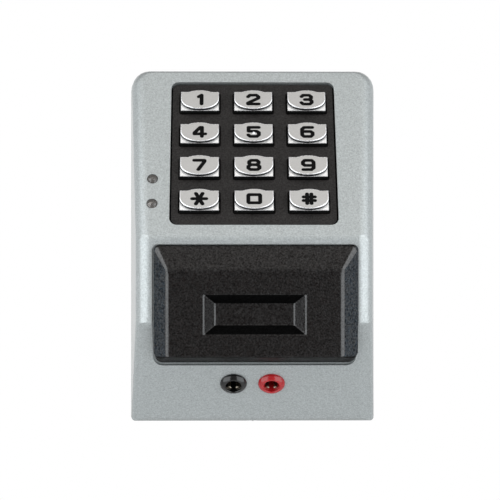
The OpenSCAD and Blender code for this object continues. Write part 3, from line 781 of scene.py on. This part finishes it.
# width of the painted-shade band in the gap round the bezel
GAP_SHADE_W = 0.56
STROKE = 1.18
GLYPH_STRETCH = 1.2  # upright strokes are this much thicker than level ones
GLYPH_W = 3.9  # between stroke centres
GLYPH_H = 3.8
GLYPH_DROP = 0.15  # below the key's middle
INK_START, INK_THICKNESS = -0.05, 0.075  # from the key's top
KEY_ROWS = (("1", "2", "3"), ("4", "5", "6"), ("7", "8", "9"), ("star", "0", "hash"))


def glyph_strokes(sign):
    """Centre lines of a square-cut numeral in a box from -1 to 1 each way; a closed one repeats its start."""
    if sign == "star":
        ends = [(1.25 * math.cos(math.radians(a)), 1.25 * math.sin(math.radians(a))) for a in (0, 62, 118)]
        return [[(-x, -y), (x, y)] for x, y in ends]
    return {
        "0": [[
            (-1.05, 0.72), (-0.92, 0.86), (0.92, 0.86), (1.05, 0.72), (1.05, -0.72), (0.92, -0.86),
            (-0.92, -0.86), (-1.05, -0.72), (-1.05, 0.72),
        ]],
        "1": [[(-0.22, 0.62), (0.3, 1), (0.3, -1)]],
        "2": [[
            (-0.95, 0.62), (-0.6, 1), (0.6, 1), (0.95, 0.62), (0.95, 0.32), (-0.95, -0.75), (-0.95, -1),
            (1, -1),
        ]],
        "3": [
            [(-0.9, 0.68), (-0.6, 1), (0.5, 1), (0.85, 0.7), (0.85, 0.3), (0.5, 0.02), (-0.3, 0.02)],
            [(0.5, 0.02), (0.95, -0.3), (0.95, -0.68), (0.6, -1), (-0.6, -1), (-0.95, -0.68)],
        ],
        "4": [[(0.4, -1), (0.4, 1), (0.1, 1), (-0.95, -0.2), (-0.95, -0.45), (1, -0.45)]],
        "5": [[
            (0.95, 1), (-0.9, 1), (-0.9, 0.15), (0.55, 0.15), (0.95, -0.15), (0.95, -0.65), (0.6, -1),
            (-0.6, -1), (-0.95, -0.68),
        ]],
        "6": [[
            (0.9, 1), (-0.55, 1), (-0.95, 0.62), (-0.95, -0.65), (-0.6, -1), (0.6, -1), (0.95, -0.65),
            (0.95, -0.2), (0.6, 0.1), (-0.95, 0.1),
        ]],
        "7": [[(-0.95, 1), (0.9, 1), (0.9, 0.75), (-0.2, -1)]],
        "8": [
            [
                (-0.5, 1), (0.5, 1), (0.85, 0.7), (0.85, 0.35), (0.5, 0.05), (-0.5, 0.05), (-0.85, 0.35),
                (-0.85, 0.7), (-0.5, 1),
            ],
            [
                (-0.5, 0.05), (0.5, 0.05), (1, -0.3), (1, -0.68), (0.62, -1), (-0.62, -1), (-1, -0.68),
                (-1, -0.3), (-0.5, 0.05),
            ],
        ],
        "9": [[
            (-0.9, -1), (0.55, -1), (0.95, -0.62), (0.95, 0.65), (0.6, 1), (-0.6, 1), (-0.95, 0.65),
            (-0.95, 0.2), (-0.6, -0.1), (0.95, -0.1),
        ]],
        "hash": [
            [(-0.38, 1), (-0.38, -1)], [(0.38, 1), (0.38, -1)],
            [(-1, 0.38), (1, 0.38)], [(-1, -0.38), (1, -0.38)],
        ],
    }[sign]


def stroke_pieces(line, width):
    """Flat polygons that cover a centre line: a bar for each stretch and a disc at each point."""
    out = []
    for a, b in zip(line, line[1:]):
        a, b = Vector(a), Vector(b)
        side = (b - a).orthogonal().normalized() * width / 2
        out.append([a + side, a - side, b - side, b + side])
    for p in line:
        out.append([Vector(q) for q in circle(p[0], p[1], width / 2, 20)])
    return out


def numeral(sign, at):
    """A printed sign on a key's oval, as one thin flat piece."""
    verts, faces = [], []
    for line in glyph_strokes(sign):
        scaled = [(x * GLYPH_W / 2 / GLYPH_STRETCH, y * GLYPH_H / 2) for x, y in line]
        for poly in stroke_pieces(scaled, STROKE):
            area = sum(p.x * q.y - q.x * p.y for p, q in zip(poly, poly[1:] + poly[:1]))
            poly = poly if area > 0 else poly[::-1]
            faces.append(list(range(len(verts), len(verts) + len(poly))))
            verts += poly
    flat, _, tris, _, _, sources = geometry.delaunay_2d_cdt(verts, [], faces, 1, 1e-5)
    bm = bmesh.new()
    made = [
        bm.verts.new((p.x * GLYPH_STRETCH + at.x, p.y + at.y - GLYPH_DROP, KEY_TOP + INK_START)) for p in flat
    ]
    for tri, covered_by in zip(tris, sources):
        if covered_by:
            bm.faces.new([made[i] for i in tri])
    loose = [v for v in bm.verts if not v.link_faces]
    bmesh.ops.delete(bm, geom=loose, context="VERTS")
    bmesh.ops.dissolve_limit(bm, angle_limit=0.01, verts=bm.verts, edges=bm.edges)
    grown = bmesh.ops.extrude_face_region(bm, geom=bm.faces[:])
    upper = [v for v in grown["geom"] if isinstance(v, bmesh.types.BMVert)]
    bmesh.ops.translate(bm, vec=(0, 0, INK_THICKNESS), verts=upper)
    bmesh.ops.transform(bm, matrix=ON_KEYPAD, verts=bm.verts)
    return new_object("numeral_" + sign, bm, NUMERAL)


def pad_outline(inset):
    """A key's raised pad: half an oval below, and a squared top with a low bow in it."""
    half_w, half_h, top = KEY_W / 2 - inset, KEY_H / 2 - inset, PAD_TOP - inset
    start = math.degrees(math.asin(top / half_h))
    oval = [(half_w * x, half_h * y) for x, y in arc(0, 0, 1, 180, 360, 24)]
    bow = [(half_w * x, half_h * y) for x, y in arc(0, 0, 1, start, 180 - start, 10)]
    return oval + [(half_w, top)] + bow + [(-half_w, top)]


def key_outline(inset):
    """The key's rectangle, with one point for each point of its pad."""
    half_w, half_h = KEY_W / 2 - inset, KEY_H / 2 - inset
    out = []
    for x, y in pad_outline(0):
        if y > 0.1:
            out.append((half_w * min(1, max(-1, x / KEY_W * 2)), half_h))
        else:
            reach = max(abs(x) / KEY_W, abs(y) / KEY_H) * 2
            out.append((x / reach * half_w / (KEY_W / 2), y / reach * half_h / (KEY_H / 2)))
    return out


def key_cap(node, at):
    """A key's flange, block and raised pad as one run of rings up its height."""
    step, edge = 0.15, 0.32
    flange, block, pad = key_outline(-FLANGE_REACH), key_outline(0), pad_outline(0)
    # the rims and the shoulder's edge carry painted highlight, the shoulder's top painted light, the walls and
    # the crescent under the pad painted shade
    rings = [  # (outline, height, material up to the next ring)
        (flange, KEY_ROOT, WALL_SHADED), (flange, FLANGE_TOP, WALL_SHADED), (block, FLANGE_TOP, WALL_SHADED),
        (block, KEY_SHOULDER - step, HIGHLIGHTED), (key_outline(step), KEY_SHOULDER, STEP_LIT),
        (pad, KEY_SHOULDER, WALL_SHADED), (pad, KEY_TOP - edge, HIGHLIGHTED),
    ]
    for i in range(1, 7):
        a = math.radians(15 * i)
        inset, drop = edge * (1 - math.cos(a)), edge * (1 - math.sin(a))
        rings.append((pad_outline(inset), KEY_TOP - drop, HIGHLIGHTED))
    bm = bmesh.new()
    loops = [[bm.verts.new((x + at.x, y + at.y, z)) for x, y in points] for points, z, _ in rings]
    for lower, upper, (_, _, finish) in zip(loops, loops[1:], rings):
        for i in range(len(lower)):
            j = (i + 1) % len(lower)
            bm.faces.new((lower[i], lower[j], upper[j], upper[i])).material_index = finish
    bm.faces.new(loops[0]).material_index = WALL_SHADED
    bm.faces.new(loops[-1])
    bmesh.ops.transform(bm, matrix=ON_KEYPAD, verts=bm.verts)
    bmesh.ops.remove_doubles(bm, verts=bm.verts, dist=1e-4)
    cap = new_object(node + "_cap", bm, KEY_METAL)
    for finish in (KEY_HIGHLIGHT, KEY_STEP_LIT, KEY_WALL_SHADE):
        cap.data.materials.append(finish)
    smooth(cap, 32)
    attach(cap, node)
    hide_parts(node)


def frame_ring(name, outer, inner, low, high):
    """A thin flat frame of painted shade on the keypad slope."""
    return cut(
        prism(name, rounded_rectangle(*outer), low, high, ON_KEYPAD, SHADE_BLACK),
        [prism("tool_inner", rounded_rectangle(*inner), low - 1, high + 1, ON_KEYPAD)],
    )


def keys():
    """The twelve keys with their signs, near-black rings of painted shade round the bezel's holes, and a
    near-black band of painted shade in the gap round the bezel.
    """
    for row in KEY_ROWS:
        for sign in row:
            node = "key_" + sign
            at = ON_KEYPAD.inverted() @ node_centre(node)
            at = Vector((at.x, round(at.y / HALF_PITCH) * HALF_PITCH, 0))
            key_cap(node, at)
            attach(numeral(sign, at), node)
            if sign == "5":
                # the pip takes the near-white copy too: painted highlight
                pip = lathe(
                    "pip_5", [(0.001, 0.4), (0.28, 0.36), (0.48, 0.22), (0.58, -0.05), (0.001, -0.05)],
                    ON_KEYPAD @ Matrix.Translation((at.x + 0.1, at.y - 0.62, KEY_TOP)), KEY_HIGHLIGHT, 24,
                )
                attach(pip, node)
            # painted shade: a near-black ring round the bezel's hole, where the gap between key and bezel lies
            # in shadow
            w, h = KEY_W / 2 + KEY_GAP, KEY_H / 2 + KEY_GAP
            left, right, below, above = at.x - w, at.x + w, at.y - h, at.y + h
            lip = frame_ring(
                node + "_shade_ring", (left - SHADE_RING_SIDE, right + SHADE_RING_SIDE, below - SHADE_RING_BELOW, above + SHADE_RING_ABOVE, 0.7),
                (left, right, below, above, 0.5), BEZEL_FACE - 0.3, BEZEL_FACE + 0.02,
            )
            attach(lip, "housing")
    x0, x1, y0, y1 = OPENING
    # painted shade: a near-black band in the gap round the bezel, open at the top, where the hole runs on past
    # it
    gasket = frame_ring(
        "bezel_gap_shade", (x0, x1, y0, y1 - 0.6, 2.7),
        (x0 + GAP_SHADE_W, x1 - GAP_SHADE_W, y0 + GAP_SHADE_W, y1 + 1, 2.3), -2.4, -0.75,
    )
    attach(gasket, "housing")


# ---- indicators and sockets ----

def indicators():
    """Each lens holds a lead frame: a cup on one post and a wire from the other."""
    for node in ("led_upper", "led_lower"):
        soften(node, 0.12)
        at = ON_KEYPAD.inverted() @ node_centre(node)
        place = ON_KEYPAD @ Matrix.Translation((at.x, at.y, 0))
        cup = lathe(
            node + "_cup",
            [(0.001, -1.6), (0.35, -1.6), (0.62, -1.15), (0.8, -1.15), (0.8, -2.6), (0.001, -2.6)],
            place @ Matrix.Translation((-0.45, 0, 0)), SCREW_STEEL, 24,
        )
        post = prism(node + "_post", circle(0.85, 0, 0.35, 16), -2.9, -1.3, place, SCREW_STEEL)
        for piece in (cup, post):
            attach(piece, "housing")


COLLAR_R = 4.75


def sockets():
    """Each socket is a domed collar on a threaded barrel, around a split spring contact."""
    for node, material in (("socket_black", BLACK_GLOSS), ("socket_red", RED_GLOSS)):
        at = ON_APRON.inverted() @ node_centre(node)
        place = ON_APRON @ Matrix.Translation((at.x, 0, 0))
        shoulder = ((0, 0.0), (0, 0.3), (0.12, 0.6), (0.4, 0.95), (0.85, 1.28))
        collar = [(COLLAR_R - inset, height) for inset, height in shoulder]
        collar += arc(3.12, 1.3, 0.4, 62, 178, 8) + [(2.68, 0.9), (2.68, -9.0), (3.5, -9.0), (3.5, 0.0)]
        piece = lathe(node + "_body", collar, place, material)
        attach(piece, "housing")
        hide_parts(node)

        tube = lathe(
            node + "_contact",
            [
                (2.0, 0.1), (2.15, 0.3), (2.5, 0.3), (2.62, 0.1), (2.62, -11), (1.2, -11), (1.2, -13),
                (0.02, -13), (0.02, -10), (2.0, -10),
            ],
            place, SPRING_BRASS,
        )
        slots = []
        for x, y in ((3, 1.45), (0.85, 3)):
            slots.append(prism("tool_slot", [(-x, -y), (x, -y), (x, y), (-x, y)], -7, 1, place))
        cut(tube, slots)
        smooth(tube, 35)
        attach(tube, "housing")
        if node == "socket_black":
            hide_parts("socket_contacts")


# ---- studio ----

EYE = Vector((-11, -630, -1.5)) * MM
AIM = Vector((-0.9, 0, -1.5)) * MM
SENSOR_W, FOCAL_LENGTH = 36, 123.6

# lamps: place and size in metres, power in watts, colour
SIDE_PLACE, SIDE_SIZE, SIDE_POWER = (0.475, -0.42, 0.0), (0.68, 1.35), 6.45
RIM_PLACE, RIM_SIZE, RIM_POWER = (0.725, 0.338, 0.05), (0.9, 1.1), 1.7
TOP_PLACE, TOP_SIZE, TOP_POWER = (0, -0.42, 0.62), (1.1, 0.5), 1.3
BACK_PLACE, BACK_SIZE, BACK_POWER = (0, 0.9, 0.3), (1.2, 1.0), 3
LAMP_AIM = (0, -0.02, 0)
COOL, WARM, WHITE = (0.93, 0.97, 1.0), (1, 0.98, 0.95), (1, 1, 1)
FILL_COLOUR, FILL_STRENGTH = (1.0, 0.955, 0.93, 1), 0.27
FLOOR_GREY, FLOOR_R, FLOOR_DROP = 0.65, 1500, 450  # the drop is below the object's lower end


def camera():
    """A level view from slightly left of the middle."""
    data = bpy.data.cameras.new("camera")
    data.sensor_width = SENSOR_W
    data.lens = FOCAL_LENGTH
    obj = bpy.data.objects.new("camera", data)
    obj.location = EYE
    obj.rotation_mode = "QUATERNION"
    obj.rotation_quaternion = (AIM - EYE).to_track_quat("-Z", "Y")
    scene.collection.objects.link(obj)
    scene.camera = obj


def area_light(name, place, aim, size, power, colour):
    """A soft box that the camera doesn't see."""
    data = bpy.data.lights.new(name, "AREA")
    data.color = colour
    data.shape = "RECTANGLE"
    data.size, data.size_y = size
    data.energy = power
    obj = bpy.data.objects.new(name, data)
    obj.location = place
    obj.rotation_mode = "QUATERNION"
    obj.rotation_quaternion = (Vector(aim) - Vector(place)).to_track_quat("-Z", "Y")
    obj.visible_camera = False
    scene.collection.objects.link(obj)


def studio():
    """White surroundings for the camera, a pale floor, and soft boxes.

    A large box stands level on each side in front, a fainter one on each side behind, one above in
    front, and one behind. A weak warm fill comes from all round.
    """
    world = bpy.data.worlds.new("world")
    scene.world = world
    world.use_nodes = True
    tree = world.node_tree
    fill = tree.nodes["Background"]
    fill.inputs["Color"].default_value = FILL_COLOUR
    fill.inputs["Strength"].default_value = FILL_STRENGTH
    white = tree.nodes.new("ShaderNodeBackground")
    white.inputs["Color"].default_value = (1, 1, 1, 1)
    seen = tree.nodes.new("ShaderNodeLightPath")
    mix = tree.nodes.new("ShaderNodeMixShader")
    tree.links.new(seen.outputs["Is Camera Ray"], mix.inputs[0])
    tree.links.new(fill.outputs[0], mix.inputs[1])
    tree.links.new(white.outputs[0], mix.inputs[2])
    tree.links.new(mix.outputs[0], tree.nodes["World Output"].inputs["Surface"])
    scene.view_settings.view_transform = "Standard"

    s = Shader("floor_white")
    s.set(Base_Color=(FLOOR_GREY, FLOOR_GREY, FLOOR_GREY), Roughness=0.8)
    bm = bmesh.new()
    bmesh.ops.create_circle(bm, cap_ends=True, segments=96, radius=FLOOR_R)
    bmesh.ops.translate(bm, vec=(0, 0, -HALF_H - FLOOR_DROP), verts=bm.verts)
    floor = new_object("floor", bm, s.material)

    for side in (-1, 1):
        for name, (x, y, z), size, power in (
            ("side_box", SIDE_PLACE, SIDE_SIZE, SIDE_POWER), ("rim_box", RIM_PLACE, RIM_SIZE, RIM_POWER),
        ):
            area_light(name, (side * x, y, z), LAMP_AIM, size, power, COOL)
    area_light("top_box", TOP_PLACE, LAMP_AIM, TOP_SIZE, TOP_POWER, WARM)
    area_light("back_box", BACK_PLACE, (0, 0, 0), BACK_SIZE, BACK_POWER, WHITE)


camera()
dress_nodes()
housing()
keys()
indicators()
sockets()
cover()
soften("keypad_bezel", 0.3)
studio()
